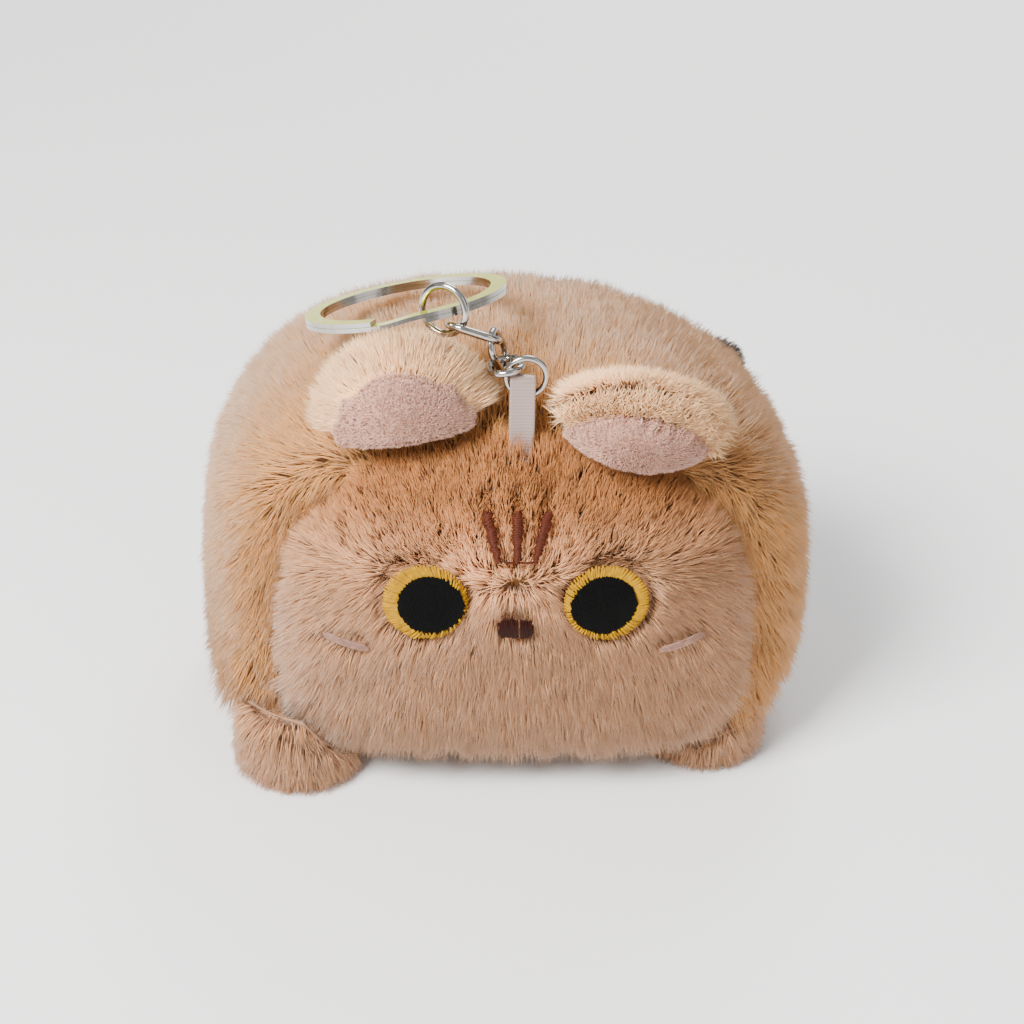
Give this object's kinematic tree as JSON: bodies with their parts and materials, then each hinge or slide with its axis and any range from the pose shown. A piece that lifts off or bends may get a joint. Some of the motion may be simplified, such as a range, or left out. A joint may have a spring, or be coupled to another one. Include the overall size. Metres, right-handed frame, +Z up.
{
  "type": "plush keychain",
  "caption": "Loaf-shaped plush animal with stub feet, floppy ears, embroidered face and a curled tail, hung from a ribbon loop, short chain and flat split ring.",
  "frame": {"origin": "bottom centre of the whole object, on the surface that the feet stand on", "axes": "+Z up, the face looks along -Y, +X to the right as seen from in front of the face"},
  "size_m": [0.094, 0.0748, 0.0812],
  "materials": {
    "plush_fur": "matte",
    "ear_fur": "matte",
    "ear_velour": "matte",
    "dark_fur": "matte",
    "fibre_filling": "matte",
    "yellow_thread": "satin",
    "black_thread": "satin",
    "rust_thread": "satin",
    "brown_thread": "satin",
    "mauve_thread": "satin",
    "satin_ribbon": "satin",
    "nickel_plate": "polished"
  },
  "bodies": {
    "plush": {"stuffing": "fibre_filling", "face_panel": "plush_fur", "back_panel": "plush_fur", "belly_panel": "plush_fur", "wrap_panel": "plush_fur", "front_left_foot": "plush_fur", "front_right_foot": "plush_fur", "rear_left_foot": "plush_fur", "rear_right_foot": "plush_fur", "left_eye_pupil": "black_thread", "left_eye_ring": "yellow_thread", "left_whisker": "mauve_thread", "right_eye_pupil": "black_thread", "right_eye_ring": "yellow_thread", "right_whisker": "mauve_thread", "left_brow_stripe": "rust_thread", "middle_brow_stripe": "rust_thread", "right_brow_stripe": "rust_thread", "nose": "brown_thread", "ribbon_ends": "satin_ribbon"},
    "ribbon": {"ribbon_loop": "satin_ribbon"},
    "lower_ring": {"lower_ring": "nickel_plate"},
    "link_1": {"link_1": "nickel_plate"},
    "link_2": {"link_2": "nickel_plate"},
    "link_3": {"link_3": "nickel_plate"},
    "upper_ring": {"upper_ring": "nickel_plate"},
    "split_ring": {"split_ring": "nickel_plate"},
    "left_ear": {"left_ear_back": "ear_fur", "left_ear_lining": "ear_velour"},
    "right_ear": {"right_ear_back": "ear_fur", "right_ear_lining": "ear_velour"},
    "tail": {"tail": "plush_fur", "tail_tip": "dark_fur"}
  },
  "joints": [
    {"name": "ribbon_flop", "type": "hinge", "parent": "plush", "child": "ribbon", "pos_m": [0.00215, -0.02995, 0.05948], "axis": [1, 0, 0], "range_deg": [0, 45]},
    {"name": "lower_ring_turn", "type": "hinge", "parent": "ribbon", "child": "lower_ring", "pos_m": [0.00265, -0.02995, 0.06897], "axis": [0, 1, 0], "range_deg": [0, 40]},
    {"name": "link_1_swing", "type": "hinge", "parent": "lower_ring", "child": "link_1", "pos_m": [-0.00006, -0.02995, 0.06986], "axis": [-0.309, 0, -0.9511], "range_deg": [-18, 8]},
    {"name": "link_2_swing", "type": "hinge", "parent": "link_1", "child": "link_2", "pos_m": [-0.00049, -0.02381, 0.06877], "axis": [0.0881, 0.7963, 0.5985], "range_deg": [0, 14]},
    {"name": "link_3_swing", "type": "hinge", "parent": "link_2", "child": "link_3", "pos_m": [-0.00237, -0.02721, 0.07357], "axis": [0.0881, 0.7963, 0.5985], "range_deg": [0, 25]},
    {"name": "upper_ring_swing", "type": "hinge", "parent": "link_3", "child": "upper_ring", "pos_m": [-0.00829, -0.02638, 0.07517], "axis": [0.0026, 0.8913, -0.4535], "range_deg": [0, 10]},
    {"name": "split_ring_swing", "type": "hinge", "parent": "upper_ring", "child": "split_ring", "pos_m": [-0.00911, -0.02588, 0.07694], "axis": [0.9018, 0.4268, 0.0685], "range_deg": [0, 60]},
    {"name": "left_ear_flop", "type": "hinge", "parent": "plush", "child": "left_ear", "pos_m": [-0.01435, -0.02845, 0.06047], "axis": [0.9848, 0, 0.1736], "range_deg": [-15, 35]},
    {"name": "right_ear_flop", "type": "hinge", "parent": "plush", "child": "right_ear", "pos_m": [0.01865, -0.02845, 0.06012], "axis": [0.9816, 0, -0.1908], "range_deg": [-40, 12]},
    {"name": "tail_swing", "type": "hinge", "parent": "plush", "child": "tail", "pos_m": [0.00915, 0.03345, 0.02], "axis": [0, 0, 1], "range_deg": [0, 40]}
  ]
}
